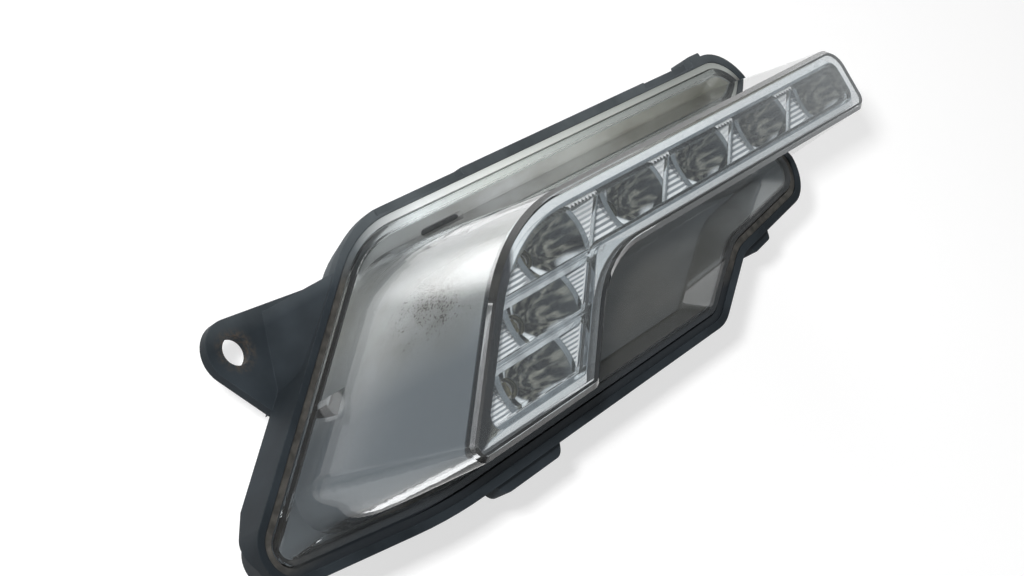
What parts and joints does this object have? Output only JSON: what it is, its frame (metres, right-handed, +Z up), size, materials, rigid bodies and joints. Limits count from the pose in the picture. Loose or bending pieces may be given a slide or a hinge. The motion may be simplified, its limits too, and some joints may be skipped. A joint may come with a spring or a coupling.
{
  "type": "daytime running light",
  "caption": "Daytime running light for a car bumper: clear L-shaped hump over metallised bowls, black sealed housing with a fixing ear and a rear socket.",
  "frame": {"origin": "centre of the fixing ear's hole, at the ear's front face", "axes": "+X along the lamp from the ear to its outer end, -Y towards the road ahead, +Z up"},
  "size_m": [0.2704, 0.087, 0.0833],
  "materials": {
    "housing": "moulded black plastic, fine grain",
    "bead": "cured grey sealing bead, dusty",
    "lens": "clear moulded plastic",
    "bezel": "silver-grey painted plastic",
    "reflector": "vacuum-metallised plastic",
    "led_board": "white solder mask on aluminium core",
    "pad": "soft filled silicone",
    "sink": "as cast",
    "steel": "zinc plated",
    "seal": "moulded black rubber",
    "board": "green solder mask",
    "choke": "ferrite",
    "can": "drawn can",
    "chip": "moulded package",
    "header": "natural moulded plastic",
    "socket": "moulded black plastic",
    "contact": "tin plated",
    "membrane": "expanded film",
    "led": "phosphor under a clear dome"
  },
  "bodies": {
    "root": {"rear_housing": "housing", "sealing_bead": "bead", "outer_lens": "lens", "inner_bezel": "bezel", "reflector": "reflector", "led_board": "led_board", "thermal_pad": "pad", "heat_sink": "sink", "heat_sink_screws": "steel", "screw_seals": "seal", "reflector_screws": "steel", "driver_board": "board", "driver_screws": "steel", "driver_choke": "choke", "driver_capacitors": "can", "driver_chip": "chip", "driver_header": "header", "connector_socket": "socket", "connector_seal": "seal", "contact_pins": "contact", "vent_membrane": "membrane", "vent_cap": "seal", "led_1": "led", "led_2": "led", "led_3": "led", "led_4": "led", "led_5": "led", "led_6": "led", "led_7": "led"}
  },
  "joints": []
}
